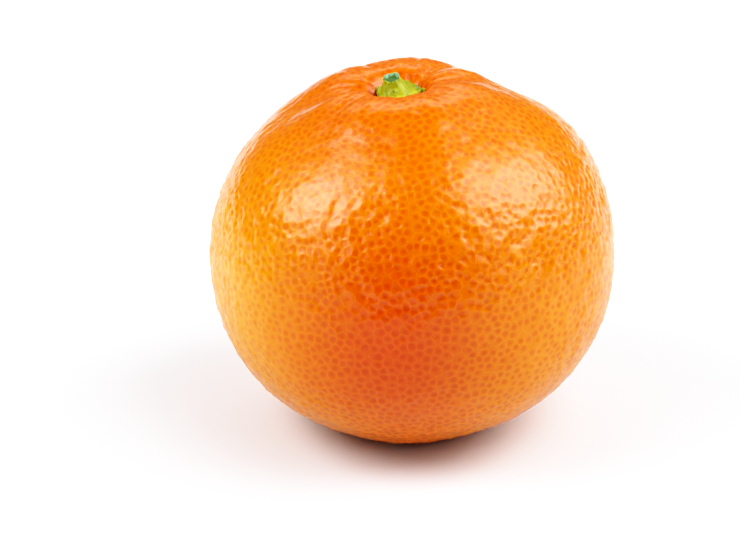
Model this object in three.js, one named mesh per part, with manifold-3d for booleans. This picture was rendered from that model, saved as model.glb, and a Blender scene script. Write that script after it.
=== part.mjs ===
// A whole mandarin with its stem button, resting on the small flat spot of its underside.
// Units are millimetres and +Z is up. The origin is the centre of the underside of the bounding box.
import * as THREE from "three";
import { mergeVertices } from "three/addons/utils/BufferGeometryUtils.js";
import Module from "manifold-3d";

const wasm = await Module();
wasm.setup();

// The rind. Its own axis runs from the blossom end to the stem end, and all angles are degrees.
const EQUATOR_RADIUS = 31;
const STEM_END_RADIUS = 27.7; // from the centre, before the collar and the dimple
const BLOSSOM_END_RADIUS = 28.2;
const SQUARENESS = 2.14; // exponent of the meridian's superellipse, where 2 is an ellipse
const LEAN = 4.7; // the axis leans this far towards -X
const FOOT_RADIUS = 8; // of the flat spot that the fruit rests on

// The raised collar round the stem, and the dimple that the stem button sits in.
const COLLAR = { height: 1.3, polar: 21, width: 11 };
const DIMPLE = { depth: 3.8, width: 9, steepness: 4 };

// Lobes (height above 0) and furrows (below 0) of the rind. Azimuth 0 is +X and 90 is +Y, polar is the
// angle from the stem, and spread and reach are the half widths round the axis and along it.
const FOLDS = [
  { azimuth: 178, polar: 20, height: -1.5, spread: 16, reach: 18 },
  { azimuth: 50, polar: 16, height: -1.3, spread: 14, reach: 12 },
  { azimuth: 8, polar: 20, height: -0.8, spread: 13, reach: 14 },
  { azimuth: 262, polar: 60, height: -0.9, spread: 24, reach: 36 },
  { azimuth: 318, polar: 34, height: -0.6, spread: 18, reach: 22 },
  { azimuth: 222, polar: 34, height: -0.6, spread: 18, reach: 22 },
  { azimuth: 12, polar: 67, height: 0.3, spread: 25, reach: 22 },
  { azimuth: 35, polar: 40, height: -1.1, spread: 16, reach: 13 },
  { azimuth: 116, polar: 27, height: -0.25, spread: 7, reach: 9 },
  { azimuth: 138, polar: 34, height: 0.45, spread: 13, reach: 12 },
  { azimuth: 153, polar: 42, height: 0.25, spread: 7, reach: 12 },
];
const FOLD_START = 8; // folds fade in over this polar angle, so that they all meet at the stem

// The stem button: five fused sepals in the dimple, and the cut stub of the stem.
const GAP = 0.3; // between one solid and the next
const SEPALS = { count: 5, radius: 3.4, swing: 0.4, first: 0, thickness: 0.9 };
const STUB = { foot: 3.2, top: 1.3, height: 3.7, bend: 1, flare: 1.3, cutSlope: 14 };

// Mesh density
const RIND_COLUMNS = 72;
const RIND_ROWS = 38;
const ROW_CROWDING = 1.3; // above 1, rows crowd towards the stem
const CALYX_COLUMNS = 50;
const CALYX_ROWS = 10;
const STUB_COLUMNS = 24;
const STUB_ROWS = 6;

const rad = THREE.MathUtils.degToRad;
const deg = THREE.MathUtils.radToDeg;
const bell = (x, width) => Math.exp(-((x / width) ** 2));
const turnBetween = (a, b) => THREE.MathUtils.euclideanModulo(a - b + 180, 360) - 180;

// Distance from the rind's centre to its skin, in the direction (polar, azimuth).
function rindRadius(polar, azimuth) {
  const across = Math.abs(Math.sin(rad(polar))) / EQUATOR_RADIUS;
  const endRadius = polar < 90 ? STEM_END_RADIUS : BLOSSOM_END_RADIUS;
  const along = Math.abs(Math.cos(rad(polar))) / endRadius;
  let radius = (across ** SQUARENESS + along ** SQUARENESS) ** (-1 / SQUARENESS);
  radius += COLLAR.height * bell(polar - COLLAR.polar, COLLAR.width);
  radius -= DIMPLE.depth * Math.exp(-((polar / DIMPLE.width) ** DIMPLE.steepness));
  for (const fold of FOLDS) {
    const along = bell(polar - fold.polar, fold.reach) * (1 - bell(polar, FOLD_START));
    radius += fold.height * bell(turnBetween(azimuth, fold.azimuth), fold.spread) * along;
  }
  return radius;
}

// Height of the skin in the dimple, at a distance from the rind's axis.
function skinHeight(distance, azimuth) {
  let polar = 0;
  for (let round = 0; round < 6; round++)
    polar = deg(Math.asin(distance / rindRadius(polar, azimuth)));
  return rindRadius(polar, azimuth) * Math.cos(rad(polar));
}

// Puts a vertex at a distance from the axis, an azimuth round it, and a height along it.
function setRound(vertex, distance, azimuth, height) {
  vertex.set(distance * Math.cos(rad(azimuth)), distance * Math.sin(rad(azimuth)), height);
}

// Moves each vertex of a closed geometry to place(vertex), and merges the ones that then coincide.
function reshape(geometry, place) {
  geometry.deleteAttribute("normal");
  geometry.deleteAttribute("uv");
  const position = geometry.getAttribute("position");
  const vertex = new THREE.Vector3();
  for (let i = 0; i < position.count; i++) {
    vertex.fromBufferAttribute(position, i);
    place(vertex);
    position.setXYZ(i, vertex.x, vertex.y, vertex.z);
  }
  return mergeVertices(geometry, 1e-4);
}

// A unit sphere with its poles on Z.
function ball(columns, rows) {
  return new THREE.SphereGeometry(1, columns, rows).rotateX(Math.PI / 2);
}

function toManifold(geometry) {
  return new wasm.Manifold(
    new wasm.Mesh({
      numProp: 3,
      vertProperties: geometry.getAttribute("position").array,
      triVerts: new Uint32Array(geometry.index.array),
    }),
  );
}

function toGeometry(manifold) {
  const mesh = manifold.getMesh();
  return new THREE.BufferGeometry()
    .setAttribute("position", new THREE.BufferAttribute(mesh.vertProperties, 3))
    .setIndex(new THREE.BufferAttribute(mesh.triVerts, 1));
}

// Leans a geometry from the rind's own axis to the way that the fruit rests.
const lean = (geometry) => geometry.rotateY(-rad(LEAN));

// The rind, leaning, with its underside cut flat where it rests.
function makeFruit() {
  const geometry = lean(
    reshape(ball(RIND_COLUMNS, RIND_ROWS), (vertex) => {
      const share = deg(Math.acos(THREE.MathUtils.clamp(vertex.z, -1, 1))) / 180;
      const polar = 180 * share ** ROW_CROWDING;
      const azimuth = deg(Math.atan2(vertex.y, vertex.x));
      const radius = rindRadius(polar, azimuth);
      setRound(vertex, radius * Math.sin(rad(polar)), azimuth, radius * Math.cos(rad(polar)));
    }),
  );
  geometry.computeBoundingBox();
  const lowest = geometry.boundingBox.min.z;
  const cutDepth = EQUATOR_RADIUS - Math.sqrt(EQUATOR_RADIUS ** 2 - FOOT_RADIUS ** 2);
  const side = 4 * EQUATOR_RADIUS;
  const floor = new THREE.BoxGeometry(side, side, side).translate(0, 0, lowest + cutDepth - side / 2);
  return toGeometry(toManifold(geometry).subtract(toManifold(reshape(floor, () => {}))));
}

// A thin five-lobed star that follows the skin of the dimple.
function makeCalyx() {
  const geometry = reshape(ball(CALYX_COLUMNS, CALYX_ROWS), (vertex) => {
    const azimuth = deg(Math.atan2(vertex.y, vertex.x));
    const lobe = Math.cos(rad(SEPALS.count * (azimuth - SEPALS.first)));
    const distance = Math.hypot(vertex.x, vertex.y) * (SEPALS.radius + SEPALS.swing * lobe);
    const layer = (SEPALS.thickness * (1 + vertex.z)) / 2;
    setRound(vertex, distance, azimuth, skinHeight(distance, azimuth) + GAP + layer);
  });
  return lean(geometry);
}

// The cut stub of the stem: it widens down to the calyx, leans towards -X, and its cut end faces
// upwards and a little towards -Y.
function makeStub() {
  const profile = [new THREE.Vector2(0, 0)];
  for (let row = 0; row <= STUB_ROWS; row++) {
    const share = row / STUB_ROWS;
    const radius = STUB.top + (STUB.foot - STUB.top) * (1 - share) ** STUB.flare;
    profile.push(new THREE.Vector2(radius, share * STUB.height));
  }
  profile.push(new THREE.Vector2(0, STUB.height));
  const slope = Math.tan(rad(STUB.cutSlope));
  const turned = new THREE.LatheGeometry(profile, STUB_COLUMNS).rotateX(Math.PI / 2);
  const geometry = reshape(turned, (vertex) => {
    const share = Math.min(vertex.z / STUB.height, 1);
    const azimuth = deg(Math.atan2(vertex.y, vertex.x));
    const foot = skinHeight(Math.hypot(vertex.x, vertex.y) * (1 - share), azimuth);
    vertex.z += foot + SEPALS.thickness + 2 * GAP + share ** 3 * slope * vertex.y;
    vertex.x -= STUB.bend * share;
  });
  return lean(geometry);
}

function named(name, geometry, color, roughness) {
  const mesh = new THREE.Mesh(
    geometry,
    new THREE.MeshStandardMaterial({ color, roughness, metalness: 0 }),
  );
  mesh.name = name;
  return mesh;
}

const mandarin = new THREE.Group();
mandarin.add(
  named("fruit", makeFruit(), 0xf77f0a, 0.35),
  named("calyx", makeCalyx(), 0x9aa832, 0.6),
  named("stem", makeStub(), 0xa9b02c, 0.65),
);

// The whole stands with its foot at z = 0 and its bounding box centred on the Z axis.
const bounds = new THREE.Box3().setFromObject(mandarin, true);
const centre = bounds.getCenter(new THREE.Vector3());
mandarin.position.set(-centre.x, -centre.y, -bounds.min.z);

export default mandarin;
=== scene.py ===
# A whole mandarin with its stem button, on a white floor under large soft lights.
# Blender works in metres. Shapes are worked out in millimetres and scaled by MM as they become meshes.
import math

import bmesh
import bpy
import numpy as np
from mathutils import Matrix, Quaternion, Vector
from mathutils.kdtree import KDTree


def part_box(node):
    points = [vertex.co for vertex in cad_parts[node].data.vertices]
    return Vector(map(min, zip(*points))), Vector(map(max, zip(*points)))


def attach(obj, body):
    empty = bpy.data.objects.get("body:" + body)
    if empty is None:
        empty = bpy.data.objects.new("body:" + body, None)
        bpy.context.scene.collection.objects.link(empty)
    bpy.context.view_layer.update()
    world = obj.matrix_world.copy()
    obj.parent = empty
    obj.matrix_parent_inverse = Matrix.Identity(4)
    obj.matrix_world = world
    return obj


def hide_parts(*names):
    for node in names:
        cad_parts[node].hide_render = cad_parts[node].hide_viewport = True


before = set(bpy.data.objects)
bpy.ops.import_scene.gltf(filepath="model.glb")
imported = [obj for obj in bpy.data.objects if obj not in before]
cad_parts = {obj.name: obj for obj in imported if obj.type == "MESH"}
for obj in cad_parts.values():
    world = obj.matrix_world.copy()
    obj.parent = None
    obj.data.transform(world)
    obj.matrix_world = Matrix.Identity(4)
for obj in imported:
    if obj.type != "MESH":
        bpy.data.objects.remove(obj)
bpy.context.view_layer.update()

MM = 0.001
SEED = 41

# ---------------------------------------------------------------- shape of the rind, as in the CAD
# Angles are in degrees. Polar angles are from the stem end, and azimuth 0 is +X and 90 is +Y.
EQUATOR_RADIUS = 31.0
STEM_END_RADIUS = 27.7
BLOSSOM_END_RADIUS = 28.2
SQUARENESS = 2.14
LEAN = 4.7
COLLAR = dict(height=1.3, polar=21.0, width=11.0)
DIMPLE = dict(depth=3.8, width=9.0, steepness=4.0)
# azimuth, polar angle, height (below 0 for a furrow), half width round the axis, half width along it
FOLDS = [
    (178, 20, -1.5, 16, 18),
    (50, 16, -1.3, 14, 12),
    (8, 20, -0.8, 13, 14),
    (262, 60, -0.9, 24, 36),
    (318, 34, -0.6, 18, 22),
    (222, 34, -0.6, 18, 22),
    (12, 67, 0.3, 25, 22),
    (35, 40, -1.1, 16, 13),
    (116, 27, -0.25, 7, 9),
    (138, 34, 0.45, 13, 12),
    (153, 42, 0.25, 7, 12),
]
FOLD_START = 8.0

# ---------------------------------------------------------------- detail of the skin
GLAND_SPACING = 1.42
GLAND_RADIUS = (0.36, 0.6)  # smallest and largest
GLAND_PIT = 0.1  # depth of a pit below the ridges round it
PIT_REACH = 1.5  # radius of a pit, in gland radii
GLAND_JITTER = 0.55  # of the spacing, before the glands push each other apart
RELAX_ROUNDS = 5
SUBDIVISION = 4  # each side of a triangle between three glands is cut into this many
PEBBLE_HEIGHT = 0.08
SWELL_HEIGHT = 0.12
FINE_RELIEF = 0.2  # how rough the skin is near the stem, where 1 is rough
COARSE_GAIN = 1.3  # how much rougher it is on the shoulders
SHOULDER = (42.0, 70.0)  # polar angles over which it gets rougher
CALM = dict(share=0.55, start=78.0, end=94.0)  # how much of that is lost again, and where
FOOT_SOFTNESS = 0.3
UNDERSIDE_HEIGHT = 15.0  # skin below this height may be flattened onto the floor
SCAR_DIMPLE = dict(depth=0.7, width=2.6)
PAINTED_FRONT_SHADE = dict(azimuth=264, spread=32, polar=95, reach=44)  # painted shade: where the rind is painted darkest and reddest, on the side that faces the camera
PAINTED_CROWN_SHADE = dict(share=0.66, reach=62)  # painted shade round the stem too, under the strongest light, but less
PAINTED_SIDE_LIGHT = dict(azimuth=198, spread=38, polar=82, reach=32)  # painted light: where the lit left side is painted most yellow

rng = np.random.default_rng(SEED)


def bell(x, width):
    return np.exp(-((x / width) ** 2))


def ramp(x, start, end):
    return np.clip((x - start) / (end - start), 0, 1)


def turn_between(a, b):
    return (a - b + 180) % 360 - 180


def rind_radius(polar, azimuth):
    """Distance from the rind's centre to its smooth skin."""
    across = np.abs(np.sin(np.radians(polar))) / EQUATOR_RADIUS
    end_radius = np.where(polar < 90, STEM_END_RADIUS, BLOSSOM_END_RADIUS)
    along = np.abs(np.cos(np.radians(polar))) / end_radius
    radius = (across**SQUARENESS + along**SQUARENESS) ** (-1 / SQUARENESS)
    radius += COLLAR["height"] * bell(polar - COLLAR["polar"], COLLAR["width"])
    radius -= DIMPLE["depth"] * np.exp(-((polar / DIMPLE["width"]) ** DIMPLE["steepness"]))
    for fold_azimuth, fold_polar, height, spread, reach in FOLDS:
        reach_share = bell(polar - fold_polar, reach) * (1 - bell(polar, FOLD_START))
        radius += height * bell(turn_between(azimuth, fold_azimuth), spread) * reach_share
    return radius


def to_angles(directions):
    polar = np.degrees(np.arccos(np.clip(directions[:, 2], -1, 1)))
    azimuth = np.degrees(np.arctan2(directions[:, 1], directions[:, 0])) % 360
    return polar, azimuth


def skin_height(distance, azimuth):
    """Height of the smooth skin in the dimple, at a distance from the rind's axis."""
    polar = np.zeros_like(distance)
    for _ in range(6):
        polar = np.degrees(np.arcsin(distance / rind_radius(polar, azimuth)))
    return rind_radius(polar, azimuth) * np.cos(np.radians(polar))


def lean(points):
    """Turns points from the rind's own axis to the way that the fruit rests."""
    cos, sin = math.cos(math.radians(LEAN)), math.sin(math.radians(LEAN))
    x = points[:, 0] * cos - points[:, 2] * sin
    z = points[:, 0] * sin + points[:, 2] * cos
    return np.column_stack([x, points[:, 1], z])


# ---------------------------------------------------------------- smooth noise
def wave_noise(points, size, count=24, seed=0):
    """Smooth noise of about -1 to 1: a sum of plane waves of wavelength around size (mm)."""
    waves = np.random.default_rng(SEED + seed)
    total = np.zeros(len(points))
    for _ in range(count):
        direction = waves.normal(size=3)
        direction /= np.linalg.norm(direction)
        length = size * waves.uniform(0.7, 1.5)
        total += np.sin(points @ direction * (2 * math.pi / length) + waves.uniform(0, 2 * math.pi))
    return total / math.sqrt(count)


# ---------------------------------------------------------------- oil glands
def scatter_glands():
    """Directions of the oil glands: evenly spread, but in no pattern."""
    area = 4 * math.pi * EQUATOR_RADIUS * STEM_END_RADIUS
    count = int(area / (0.866 * GLAND_SPACING**2))
    index = np.arange(count) + 0.5
    height = 1 - 2 * index / count
    turn = math.pi * (1 + math.sqrt(5)) * index
    across = np.sqrt(1 - height**2)
    points = np.column_stack([across * np.cos(turn), across * np.sin(turn), height])
    spacing = GLAND_SPACING / EQUATOR_RADIUS
    points += rng.normal(scale=GLAND_JITTER * spacing, size=points.shape)
    points /= np.linalg.norm(points, axis=1)[:, None]
    for _ in range(RELAX_ROUNDS):
        tree = KDTree(count)
        for i, point in enumerate(points):
            tree.insert(point, i)
        tree.balance()
        pushes = np.zeros_like(points)
        for i, point in enumerate(points):
            for other, _, gap in tree.find_n(point, 8):
                if 0 < gap < spacing:
                    pushes[i] += (point - np.array(other)) / gap * (spacing - gap)
        points += 0.3 * pushes
        points /= np.linalg.norm(points, axis=1)[:, None]
    return points


def gland_triangles(directions):
    """Triangles that join neighbouring glands, facing out."""
    bm = bmesh.new()
    for direction in directions:
        bm.verts.new(direction)
    bm.verts.index_update()
    bmesh.ops.convex_hull(bm, input=bm.verts)
    bmesh.ops.triangulate(bm, faces=bm.faces)
    triangles = np.array([[v.index for v in face.verts] for face in bm.faces])
    bm.free()
    corners = directions[triangles]
    facing = np.cross(corners[:, 1] - corners[:, 0], corners[:, 2] - corners[:, 0])
    inward = np.einsum("ij,ij->i", facing, corners.mean(axis=1)) < 0
    triangles[inward] = triangles[inward][:, ::-1]
    return triangles


def subdivide(directions, triangles, cuts):
    """Cuts every triangle into cuts * cuts smaller ones, with the corners on the unit sphere.

    Returns the new directions, the new triangles, and which old triangle each new one is in.
    """
    steps = [(i, j) for i in range(cuts + 1) for j in range(cuts + 1 - i)]
    place = {step: k for k, step in enumerate(steps)}
    weights = np.array([[cuts - i - j, i, j] for i, j in steps]) / cuts
    points = np.einsum("kc,tcx->tkx", weights, directions[triangles])
    small = []
    for i, j in steps:
        if i + j < cuts:
            small.append((place[i, j], place[i + 1, j], place[i, j + 1]))
        if i + j < cuts - 1:
            small.append((place[i + 1, j], place[i + 1, j + 1], place[i, j + 1]))
    faces = np.array(small)[None] + (np.arange(len(triangles)) * len(steps))[:, None, None]
    flat = points.reshape(-1, 3)
    flat /= np.linalg.norm(flat, axis=1)[:, None]
    rounded = np.round(flat, 6) + 0.0
    _, first, same = np.unique(rounded, axis=0, return_index=True, return_inverse=True)
    owner = np.repeat(np.arange(len(triangles)), len(small))
    return flat[first], same.ravel()[faces.reshape(-1, 3)], owner


# ---------------------------------------------------------------- meshes
def new_object(name, points, faces):
    mesh = bpy.data.meshes.new(name)
    mesh.from_pydata((np.asarray(points) * MM).tolist(), [], [list(map(int, f)) for f in faces])
    mesh.update()
    mesh.shade_smooth()
    obj = bpy.data.objects.new(name, mesh)
    bpy.context.scene.collection.objects.link(obj)
    return obj


def set_attribute(obj, name, kind, domain, values):
    attribute = obj.data.attributes.new(name, kind, domain)
    key = "value" if kind == "FLOAT" else "vector"
    attribute.data.foreach_set(key, np.asarray(values, dtype=np.float32).ravel())


# ---------------------------------------------------------------- the rind
CREASE_COUNT = 26
CREASE_DEPTH = (0.1, 0.32)
CREASE_WIDTH = (0.45, 0.9)


def puckers(polar, azimuth):
    """Depth of the short creases that run out from the stem button over the collar."""
    creases = np.random.default_rng(SEED + 5)
    depth = np.zeros_like(polar)
    distance = EQUATOR_RADIUS * np.sin(np.radians(polar))
    for i in range(CREASE_COUNT):
        middle = 360 * (i + creases.uniform(-0.35, 0.35)) / CREASE_COUNT
        start = creases.uniform(6, 12)
        end = creases.uniform(17, 34)
        wobble = creases.uniform(-0.35, 0.35)
        width = creases.uniform(*CREASE_WIDTH)
        sideways = np.radians(turn_between(azimuth, middle + wobble * (polar - start))) * distance
        share = ramp(polar, start, end)
        along = np.sin(np.pi * share) ** 0.8
        depth += creases.uniform(*CREASE_DEPTH) * bell(sideways, width) * along
    return depth


def coarseness(rest, polar):
    """How rough the skin is: smooth at the stem, rough on the shoulders, calmer from the equator down."""
    calmed = 1 - CALM["share"] * ramp(polar, CALM["start"], CALM["end"])
    gain = COARSE_GAIN * ramp(polar, *SHOULDER) * calmed
    return FINE_RELIEF + gain + 0.15 * wave_noise(rest, 22.0, seed=4)


def pit_depths(rest, gland_rest, gland_size, gland_depth):
    """Depth of each point of the skin below the ridges, from the pit of its nearest gland."""
    tree = KDTree(len(gland_rest))
    for i, point in enumerate(gland_rest):
        tree.insert(point, i)
    tree.balance()
    pits = np.zeros(len(rest))
    for i, point in enumerate(rest):
        _, nearest, gap = tree.find(point)
        share = min(1, gap / (PIT_REACH * gland_size[nearest]))
        pits[i] = gland_depth[nearest] * (1 - share**2)
    return pits


def settle(points, shift):
    """Flattens the underside softly onto the floor, with a dimple at the blossom end."""
    scar = shift[:2] + lean(np.array([[0, 0, -BLOSSOM_END_RADIUS]]))[0, :2]
    distance = np.hypot(*(points[:, :2] - scar).T)
    flattened = (points[:, 2] + np.sqrt(points[:, 2] ** 2 + FOOT_SOFTNESS**2)) / 2
    flattened += SCAR_DIMPLE["depth"] * bell(distance, SCAR_DIMPLE["width"])
    underside = points[:, 2] < UNDERSIDE_HEIGHT
    points[underside, 2] = flattened[underside]


def patch_strength(patch, polar, azimuth):
    """How strongly a patch of painted shade or painted light shows, from 0 to 1."""
    across = bell(turn_between(azimuth, patch["azimuth"]), patch["spread"])
    return across * bell(polar - patch["polar"], patch["reach"])


def make_rind():
    """The rind with its glands. Returns it, and where its centre stands in mm."""
    glands = scatter_glands()
    triangles = gland_triangles(glands)
    directions, faces, owner = subdivide(glands, triangles, SUBDIVISION)
    polar, azimuth = to_angles(directions)
    smooth_radius = rind_radius(polar, azimuth)
    rest = directions * smooth_radius[:, None]
    gland_polar, gland_azimuth = to_angles(glands)
    gland_rest = glands * rind_radius(gland_polar, gland_azimuth)[:, None]

    gland_size = rng.uniform(*GLAND_RADIUS, size=len(glands))
    gland_tint = rng.uniform(size=len(glands))
    gland_depth = GLAND_PIT * rng.uniform(0.3, 1.0, size=len(glands))

    coarse = coarseness(rest, polar)
    pebble = 0.8 * wave_noise(rest, 2.6, count=40, seed=1) + 0.35 * wave_noise(rest, 1.5, count=60, seed=2)
    relief = SWELL_HEIGHT * wave_noise(rest, 16.0, seed=3)
    relief += PEBBLE_HEIGHT * pebble * (0.4 + 0.6 * coarse)
    relief -= pit_depths(rest, gland_rest, gland_size, gland_depth) * coarse
    away_from_stem = 1 - bell(polar, 15.0)
    radius = smooth_radius + relief * away_from_stem - puckers(polar, azimuth)
    points = lean(directions * radius[:, None])
    smooth = lean(rest)

    low, high = (np.array(corner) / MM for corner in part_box("fruit"))
    middle = (smooth.min(axis=0) + smooth.max(axis=0)) / 2
    shift = np.array([*((low + high) / 2 - middle)[:2], high[2] - smooth[:, 2].max()])
    points += shift
    settle(points, shift)

    obj = new_object("fruit_skin", points, faces)
    # Painted shade, darker and redder in front and round the stem, and painted light, yellower on the left
    # side, go to the material as attributes.
    crown_shade = PAINTED_CROWN_SHADE["share"] * bell(polar, PAINTED_CROWN_SHADE["reach"])
    painted_shade = np.maximum(patch_strength(PAINTED_FRONT_SHADE, polar, azimuth), crown_shade)
    set_attribute(obj, "rest", "FLOAT_VECTOR", "POINT", rest)
    set_attribute(obj, "coarse", "FLOAT", "POINT", coarse)
    set_attribute(obj, "painted_shade", "FLOAT", "POINT", painted_shade)
    set_attribute(obj, "painted_light", "FLOAT", "POINT", patch_strength(PAINTED_SIDE_LIGHT, polar, azimuth))
    corners = triangles[owner]
    for k in range(3):
        set_attribute(obj, f"gland_{k}", "FLOAT_VECTOR", "FACE", gland_rest[corners[:, k]])
    set_attribute(obj, "gland_sizes", "FLOAT_VECTOR", "FACE", gland_size[corners])
    set_attribute(obj, "gland_tints", "FLOAT_VECTOR", "FACE", gland_tint[corners])
    return obj, shift


# ---------------------------------------------------------------- the stem button
SEPALS = dict(count=5, radius=3.4, swing=0.4, first=0, thickness=0.9)
STUB = dict(foot=3.4, top=1.3, height=3.7, bend=1.0, flare=1.3, cut_slope=14)


def ring_faces(columns, rows):
    """Quads that join rows of columns points each, closed round and open at both ends."""
    faces = []
    for row in range(rows - 1):
        for column in range(columns):
            after = (column + 1) % columns
            a, b = row * columns, (row + 1) * columns
            faces.append((a + column, a + after, b + after, b + column))
    return faces


def round_grid(columns, shares, place):
    """Closed skin over rings of points: place(share, azimuths) gives distance, height for a ring."""
    azimuths = np.arange(columns) * 360 / columns
    rings = []
    for share in shares:
        distance, height = place(share, azimuths)
        x = distance * np.cos(np.radians(azimuths))
        y = distance * np.sin(np.radians(azimuths))
        rings.append(np.column_stack([x, y, height * np.ones(columns)]))
    points = np.concatenate(rings)
    faces = ring_faces(columns, len(shares))
    for ring, upward in ((0, False), (len(shares) - 1, True)):
        middle = len(points)
        points = np.vstack([points, rings[ring].mean(axis=0)])
        for column in range(columns):
            pair = (ring * columns + column, ring * columns + (column + 1) % columns)
            faces.append((*pair, middle) if upward else (*pair[::-1], middle))
    return points, faces


def make_calyx(shift):
    """Five fused sepals: a low cone that thins out to blunt tips pressed onto the skin."""
    columns = 300
    lobes = np.random.default_rng(SEED + 9)
    longer = lobes.uniform(-0.15, 0.3, size=SEPALS["count"])

    def outline(azimuth):
        turn = (azimuth - SEPALS["first"]) % 360 / 360 * SEPALS["count"]
        lobe = np.round(turn).astype(int) % SEPALS["count"]
        off = np.abs(turn - np.round(turn))
        tip = np.cos(math.pi * off) ** 1.2
        return SEPALS["radius"] + (SEPALS["swing"] + longer[lobe]) * tip - SEPALS["swing"] * (1 - tip)

    def place(turn, azimuth):
        reach = math.sin(turn)
        distance = outline(azimuth) * reach
        crown = (1 - math.cos(turn)) / 2
        cone = 0.25 + 0.75 * np.clip(1 - (distance - 1.6) / 2.6, 0, 1)
        ridge = 0.05 * np.cos(np.radians(azimuth * SEPALS["count"] * 4)) * reach**2
        return distance, skin_height(distance, azimuth) + 0.1 + (cone + ridge) * crown

    points, faces = round_grid(columns, np.linspace(0.03, 0.97, 34) * math.pi, place)
    points[:, 2] += 0.04 * wave_noise(points, 1.0, seed=11)
    return new_object("calyx_star", lean(points) + shift, faces)


def make_stub(shift):
    """The cut stub of the stem: ribbed and widening downwards, with a sunken scar on top."""
    columns = 200
    slope = math.tan(math.radians(STUB["cut_slope"]))

    def place(share, azimuth):
        ribs = 0.5 * np.cos(np.radians(azimuth * 7 + 40)) + 0.5 * np.cos(np.radians(azimuth * 12))
        if share <= 1:
            grown = STUB["top"] + (STUB["foot"] - STUB["top"]) * (1 - share) ** STUB["flare"]
            return grown + 0.05 * ribs, share * STUB["height"]
        inward = share - 1
        rim = 0.08 * math.sin(min(1, inward / 0.3) * math.pi)
        sunk = 0.3 * min(1, max(0, inward - 0.1) / 0.25)
        return (STUB["top"] + 0.05 * ribs) * (1 - inward), STUB["height"] + rim - sunk

    shares = np.concatenate([np.linspace(0, 1, 50), 1 + np.linspace(0.02, 0.96, 24)])
    points, faces = round_grid(columns, shares, place)
    cut = np.append(np.repeat(np.clip(shares - 1, 0, 1), columns), (0, 1))
    share = np.clip(points[:, 2] / STUB["height"], 0, 1)
    points += 0.04 * np.column_stack([wave_noise(points, 1.2, seed=k) for k in (21, 22, 23)])
    points[:, 2] += 0.1 * wave_noise(points, 1.6, seed=24) * share**6
    foot = skin_height(np.hypot(points[:, 0], points[:, 1]) * (1 - share), np.zeros(len(points)))
    points[:, 2] += foot + SEPALS["thickness"] + share**3 * slope * points[:, 1]
    points[:, 0] -= STUB["bend"] * share
    obj = new_object("stem_stub", lean(points) + shift, faces)
    set_attribute(obj, "cut", "FLOAT", "POINT", cut)
    return obj


# ---------------------------------------------------------------- materials
class Nodes:
    """The node tree of a material, a light or the world, with short calls for the nodes used here."""

    def __init__(self, owner, shader="Principled BSDF"):
        owner.use_nodes = True
        self.owner = owner
        self.tree = owner.node_tree
        self.shader = self.tree.nodes[shader]

    def add(self, kind, inputs=(), **settings):
        node = self.tree.nodes.new(kind)
        for key, value in settings.items():
            setattr(node, key, value)
        for key, value in dict(inputs).items():
            self.put(value, node.inputs[key])
        return node

    def put(self, value, socket):
        if isinstance(value, bpy.types.NodeSocket):
            self.tree.links.new(value, socket)
        else:
            socket.default_value = value

    def math(self, operation, *values, clamp=False):
        node = self.add("ShaderNodeMath", operation=operation, use_clamp=clamp)
        for value, socket in zip(values, node.inputs):
            self.put(value, socket)
        return node.outputs[0]

    def attribute(self, name, output="Vector"):
        return self.add("ShaderNodeAttribute", attribute_name=name).outputs[output]

    def split(self, vector):
        return self.add("ShaderNodeSeparateXYZ", {0: vector}).outputs

    def distance(self, a, b):
        return self.add("ShaderNodeVectorMath", {0: a, 1: b}, operation="DISTANCE").outputs["Value"]

    def noise(self, vector, scale, detail=2.0, roughness=0.5):
        values = {"Vector": vector, "Scale": scale, "Detail": detail, "Roughness": roughness}
        return self.add("ShaderNodeTexNoise", values).outputs["Fac"]

    def remap(self, value, low, high, to_low=0.0, to_high=1.0):
        values = {0: value, 1: low, 2: high, 3: to_low, 4: to_high}
        return self.add("ShaderNodeMapRange", values, interpolation_type="SMOOTHSTEP").outputs[0]

    def mix(self, share, a, b, blend="MIX"):
        node = self.add("ShaderNodeMix", data_type="RGBA", blend_type=blend)
        self.put(share, node.inputs["Factor"])
        for value, name in ((a, "A"), (b, "B")):
            socket = [s for s in node.inputs if s.name == name and s.type == "RGBA"][0]
            self.put(value, socket)
        return [s for s in node.outputs if s.type == "RGBA"][0]

    def bump(self, height, strength, distance):
        values = {"Height": height, "Strength": strength, "Distance": distance}
        return self.add("ShaderNodeBump", values).outputs["Normal"]


def rgb(red, green, blue):
    """Linear colour from sRGB values of 0 to 255."""
    def linear(value):
        value /= 255
        return value / 12.92 if value <= 0.04045 else ((value + 0.055) / 1.055) ** 2.4
    return (linear(red), linear(green), linear(blue), 1.0)


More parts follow.
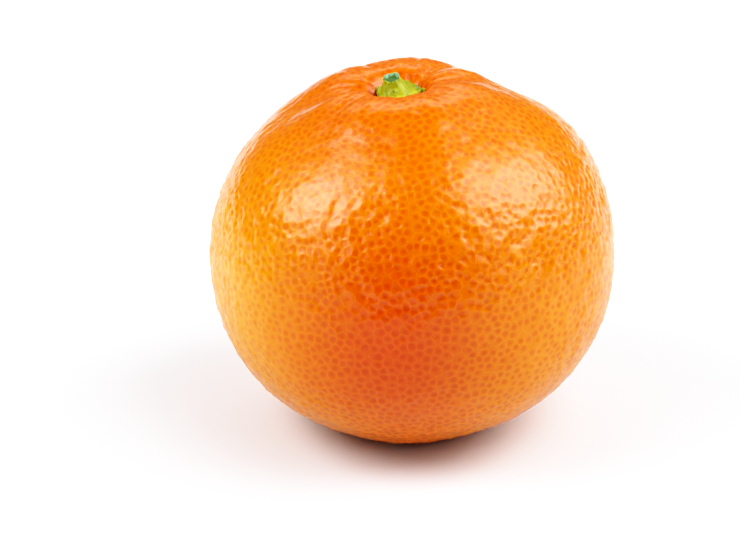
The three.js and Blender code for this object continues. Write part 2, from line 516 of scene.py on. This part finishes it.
def rind_material():
    nodes = Nodes(bpy.data.materials.new("rind"))
    rest = nodes.attribute("rest")
    sizes = nodes.split(nodes.attribute("gland_sizes"))
    tints = nodes.split(nodes.attribute("gland_tints"))

    gaps = [nodes.distance(rest, nodes.attribute(f"gland_{k}")) for k in range(3)]
    nearest = nodes.math("MINIMUM", nodes.math("MINIMUM", gaps[0], gaps[1]), gaps[2])
    second = nodes.math(
        "MAXIMUM",
        nodes.math("MINIMUM", gaps[0], gaps[1]),
        nodes.math("MINIMUM", nodes.math("MAXIMUM", gaps[0], gaps[1]), gaps[2]),
    )
    line = nodes.remap(nodes.math("SUBTRACT", second, nearest), 0.0, 0.45, 1.0, 0.0)

    dots = []
    for k in range(3):
        reach = nodes.math("DIVIDE", gaps[k], sizes[k])
        dots.append(nodes.remap(reach, 0.35, 1.25, 1.0, 0.0))
    dot = nodes.math("MAXIMUM", nodes.math("MAXIMUM", dots[0], dots[1]), dots[2])
    shades = [nodes.math("MULTIPLY", dots[k], tints[k]) for k in range(3)]
    tint = nodes.math("MAXIMUM", nodes.math("MAXIMUM", shades[0], shades[1]), shades[2])

    # Painted shade and painted light: the first mask darkens and reddens the rind in front and round the
    # stem, the second makes the left side yellower.
    painted_shade = nodes.attribute("painted_shade", "Fac")
    painted_light = nodes.attribute("painted_light", "Fac")
    patches = nodes.remap(nodes.noise(rest, 0.07, 3.0), 0.35, 0.65)
    fine = nodes.noise(rest, 1.8, 3.0, 0.6)

    between = nodes.mix(patches, rgb(215, 134, 7), rgb(211, 124, 4))
    # painted light: the left side is painted yellower
    between = nodes.mix(painted_light, between, rgb(224, 154, 16))
    # painted shade: darker and redder in front and round the stem
    between = nodes.mix(painted_shade, between, rgb(199, 83, 1))
    network = nodes.math("MULTIPLY", line, nodes.remap(fine, 0.35, 0.6, 0.1, 0.4))
    # the network lines fade where shade is painted
    network = nodes.math("MULTIPLY", network, nodes.remap(painted_shade, 0.0, 1.0, 1.0, 0.4))
    between = nodes.mix(network, between, rgb(224, 146, 18))
    gland = nodes.mix(tint, rgb(205, 112, 2), rgb(194, 96, 1))
    # painted light and painted shade on the glands too
    gland = nodes.mix(painted_light, gland, rgb(214, 130, 5))
    gland = nodes.mix(painted_shade, gland, rgb(189, 71, 1))
    colour = nodes.mix(nodes.math("MULTIPLY", dot, 0.7), between, gland)
    from_scar = nodes.distance(rest, (0, 0, -BLOSSOM_END_RADIUS))
    ragged = nodes.math("ADD", from_scar, nodes.math("MULTIPLY", fine, 1.5))
    scar = nodes.remap(ragged, 1.6, 2.4, 1.0, 0.0)
    colour = nodes.mix(scar, colour, rgb(122, 84, 36))
    nodes.put(colour, nodes.shader.inputs["Base Color"])

    rough = nodes.remap(nodes.noise(rest, 0.9, 3.0), 0.3, 0.7, 0.2, 0.27)
    nodes.put(rough, nodes.shader.inputs["Roughness"])
    shader = nodes.shader.inputs
    shader["IOR"].default_value = 1.5
    shader["Specular IOR Level"].default_value = 0.5
    shader["Subsurface Weight"].default_value = 0.25
    shader["Subsurface Radius"].default_value = (1.0, 0.35, 0.1)
    shader["Subsurface Scale"].default_value = 1.6 * MM

    coarse = nodes.attribute("coarse", "Fac")
    ridges = nodes.math("MULTIPLY", nodes.math("SUBTRACT", line, dot), 0.4)
    height = nodes.math("ADD", nodes.math("MULTIPLY", fine, 2.0), nodes.math("MULTIPLY", ridges, coarse))
    nodes.put(nodes.bump(height, 0.4, 0.05 * MM), shader["Normal"])
    return nodes.owner


def green_shader(name, dark, light, scale):
    """Mottled green plant tissue with fine specks. Returns its nodes and its colour."""
    nodes = Nodes(bpy.data.materials.new(name))
    place = nodes.add("ShaderNodeTexCoord").outputs["Object"]
    coarse = nodes.noise(place, scale, 4.0, 0.6)
    specks = nodes.noise(place, scale * 5, 2.0, 0.5)
    colour = nodes.mix(nodes.remap(coarse, 0.35, 0.65), dark, light)
    colour = nodes.mix(nodes.remap(specks, 0.58, 0.7, 0.0, 0.5), colour, rgb(110, 110, 26))
    nodes.put(nodes.remap(coarse, 0.3, 0.7, 0.4, 0.6), nodes.shader.inputs["Roughness"])
    shader = nodes.shader.inputs
    shader["Subsurface Weight"].default_value = 0.1
    shader["Subsurface Radius"].default_value = (0.6, 0.8, 0.3)
    shader["Subsurface Scale"].default_value = 0.5 * MM
    nodes.put(nodes.bump(specks, 0.4, 0.05 * MM), shader["Normal"])
    return nodes, colour


def calyx_material():
    nodes, colour = green_shader("sepals", rgb(144, 149, 27), rgb(171, 174, 41), 700.0)
    nodes.put(colour, nodes.shader.inputs["Base Color"])
    return nodes.owner


def stub_material():
    """Yellow-green bark, and a dark green cut end whose rim is painted pale blue-green on the far side
    only: the pale blue-green is the scar's own colour, but showing it only there is a painted highlight,
    and the near side of the rim stays dark as painted shade.
    """
    nodes, colour = green_shader("stem", rgb(144, 151, 26), rgb(171, 175, 40), 600.0)
    cut = nodes.attribute("cut", "Fac")
    place = nodes.add("ShaderNodeTexCoord").outputs["Object"]
    ragged = nodes.math("ADD", cut, nodes.remap(nodes.noise(place, 1500.0), 0.3, 0.7, -0.1, 0.1))
    colour = nodes.mix(nodes.remap(ragged, 0.05, 0.15), colour, rgb(74, 100, 50))
    # painted highlight: the pale rim shows on the far side only, and the near side stays dark as painted
    # shade
    painted_highlight_side = nodes.remap(nodes.split(place)["Y"], -0.6 * MM, 0.6 * MM)
    rim = nodes.math("MULTIPLY", nodes.remap(ragged, 0.05, 0.12), nodes.remap(ragged, 0.2, 0.4, 1.0, 0.0))
    colour = nodes.mix(nodes.math("MULTIPLY", rim, painted_highlight_side), colour, rgb(130, 174, 136))
    nodes.put(colour, nodes.shader.inputs["Base Color"])
    return nodes.owner


# ---------------------------------------------------------------- the stage
FLOOR_SIZE = 3.0
CAMERA_DISTANCE = 411.0
CAMERA_ELEVATION = 24.0
LENS = 130.0
# where the middle of the frame falls, in mm right of and above the rind's centre, seen by the camera
AIM = (-6.49, -4.11)
# light in the scene, and how bright the picture of it is
TONE_CURVE = [
    (0.0, 0.0),
    (0.035, 0.004),
    (0.1, 0.05),
    (0.2, 0.18),
    (0.5, 0.6),
    (0.7, 0.84),
    (0.85, 0.95),
    (1.0, 1.0),
]
WORLD_FRONT = 0.0
WORLD_BACK = 0.27
SOFTBOX_FADE = (0.08, 0.5)  # where the fade starts and ends, in widths from the middle of a softbox
# name, azimuth, elevation and roll in degrees, distance, width and height in metres, radiance
SOFTBOXES = [
    ("softbox_right", 356, 47, -43, 0.9, 1.8, 0.95, 5.8),
    ("softbox_left", 192, 45, 32, 0.9, 1.05, 0.85, 7.6),
    ("softbox_back", 90, 45, 0, 0.9, 1.4, 0.5, 2.0),
    ("glow_right", 320, 24, 0, 0.9, 0.65, 0.55, 3.2),
    ("glow_left", 216, 20, 0, 0.9, 0.65, 0.55, 3.0),
]


def make_floor():
    """A pale floor that fades to an even white away from the fruit, so that no horizon shows."""
    half = FLOOR_SIZE / 2
    mesh = bpy.data.meshes.new("floor")
    corners = [(-half, -half, 0), (half, -half, 0), (half, half, 0), (-half, half, 0)]
    mesh.from_pydata(corners, [], [(0, 1, 2, 3)])
    floor = bpy.data.objects.new("floor", mesh)
    bpy.context.scene.collection.objects.link(floor)
    nodes = Nodes(bpy.data.materials.new("floor"))
    place = nodes.add("ShaderNodeTexCoord").outputs["Object"]
    white = nodes.remap(nodes.distance(place, (0, 0, 0)), 0.2, 0.6, 0.0, TONE_CURVE[-1][0])
    nodes.put(white, nodes.shader.inputs["Emission Strength"])
    nodes.shader.inputs["Emission Color"].default_value = (1, 1, 1, 1)
    nodes.shader.inputs["Base Color"].default_value = (0.79, 0.8, 0.84, 1)
    nodes.shader.inputs["Roughness"].default_value = 0.9
    nodes.shader.inputs["Specular IOR Level"].default_value = 0.1
    mesh.materials.append(nodes.owner)


def make_camera(centre):
    elevation = math.radians(CAMERA_ELEVATION)
    back = Vector((0, -math.cos(elevation), math.sin(elevation)))
    up = Vector((0, math.sin(elevation), math.cos(elevation)))
    data = bpy.data.cameras.new("camera")
    data.lens = LENS
    data.sensor_width = 36
    data.clip_start = 0.01
    camera = bpy.data.objects.new("camera", data)
    camera.location = Vector(centre * MM) + back * (CAMERA_DISTANCE * MM)
    aim = Vector(centre * MM) + Vector((1, 0, 0)) * (AIM[0] * MM) + up * (AIM[1] * MM)
    camera.rotation_euler = (aim - camera.location).to_track_quat("-Z", "Y").to_euler()
    bpy.context.scene.collection.objects.link(camera)
    bpy.context.scene.camera = camera


def fade_to_edges(light):
    """Makes a softbox brightest in its middle. Parametric runs from 0 to 1 across it and along it."""
    nodes = Nodes(light, "Emission")
    place = nodes.split(nodes.add("ShaderNodeNewGeometry").outputs["Parametric"])
    shares = []
    for axis in ("X", "Y"):
        off = nodes.math("ABSOLUTE", nodes.math("SUBTRACT", place[axis], 0.5))
        shares.append(nodes.remap(off, *SOFTBOX_FADE, 1.0, 0.0))
    nodes.put(nodes.math("MULTIPLY", *shares), nodes.shader.inputs["Strength"])


def make_softbox(target, name, azimuth, elevation, roll, distance, width, height, radiance):
    data = bpy.data.lights.new(name, "AREA")
    data.shape = "RECTANGLE"
    data.size = width
    data.size_y = height
    data.energy = radiance * math.pi * width * height
    fade_to_edges(data)
    light = bpy.data.objects.new(name, data)
    a, e = math.radians(azimuth), math.radians(elevation)
    direction = Vector((math.cos(a) * math.cos(e), math.sin(a) * math.cos(e), math.sin(e)))
    light.location = target + direction * distance
    turn = Quaternion((0, 0, 1), math.radians(roll))
    light.rotation_euler = ((-direction).to_track_quat("-Z", "Y") @ turn).to_euler()
    bpy.context.scene.collection.objects.link(light)


def make_world():
    """White to the camera. As a light it is dark in front of the fruit and bright behind it."""
    nodes = Nodes(bpy.data.worlds.new("studio"), "Background")
    direction = nodes.split(nodes.add("ShaderNodeTexCoord").outputs["Generated"])
    light = nodes.remap(direction["Y"], -0.6, 0.4, WORLD_FRONT, WORLD_BACK)
    seen = nodes.add("ShaderNodeLightPath").outputs["Is Camera Ray"]
    white = nodes.math("MULTIPLY", seen, TONE_CURVE[-1][0])
    nodes.put(nodes.math("MAXIMUM", light, white), nodes.shader.inputs["Strength"])
    nodes.shader.inputs["Color"].default_value = (1, 1, 1, 1)
    bpy.context.scene.world = nodes.owner


def set_tone_curve():
    """The response of a camera: a soft toe, and a shoulder that keeps bright orange from clipping."""
    view = bpy.context.scene.view_settings
    view.view_transform = "Standard"
    view.use_curve_mapping = True
    mapping = view.curve_mapping
    brightest = TONE_CURVE[-1][0]
    mapping.white_level = (brightest, brightest, brightest)
    curve = mapping.curves[3]
    for light, seen in TONE_CURVE[1:-1]:
        curve.points.new(light / brightest, seen)
    mapping.update()


# ---------------------------------------------------------------- the whole
rind, shift = make_rind()
calyx = make_calyx(shift)
stub = make_stub(shift)

rind.data.materials.append(rind_material())
calyx.data.materials.append(calyx_material())
stub.data.materials.append(stub_material())

for piece, node, slot in ((rind, "fruit", "rind"), (calyx, "calyx", "sepals"), (stub, "stem", "stem")):
    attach(piece, "root")
    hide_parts(node)

make_floor()
make_camera(shift)
target = Vector(shift * MM)
for softbox in SOFTBOXES:
    make_softbox(target, *softbox)
make_world()
set_tone_curve()
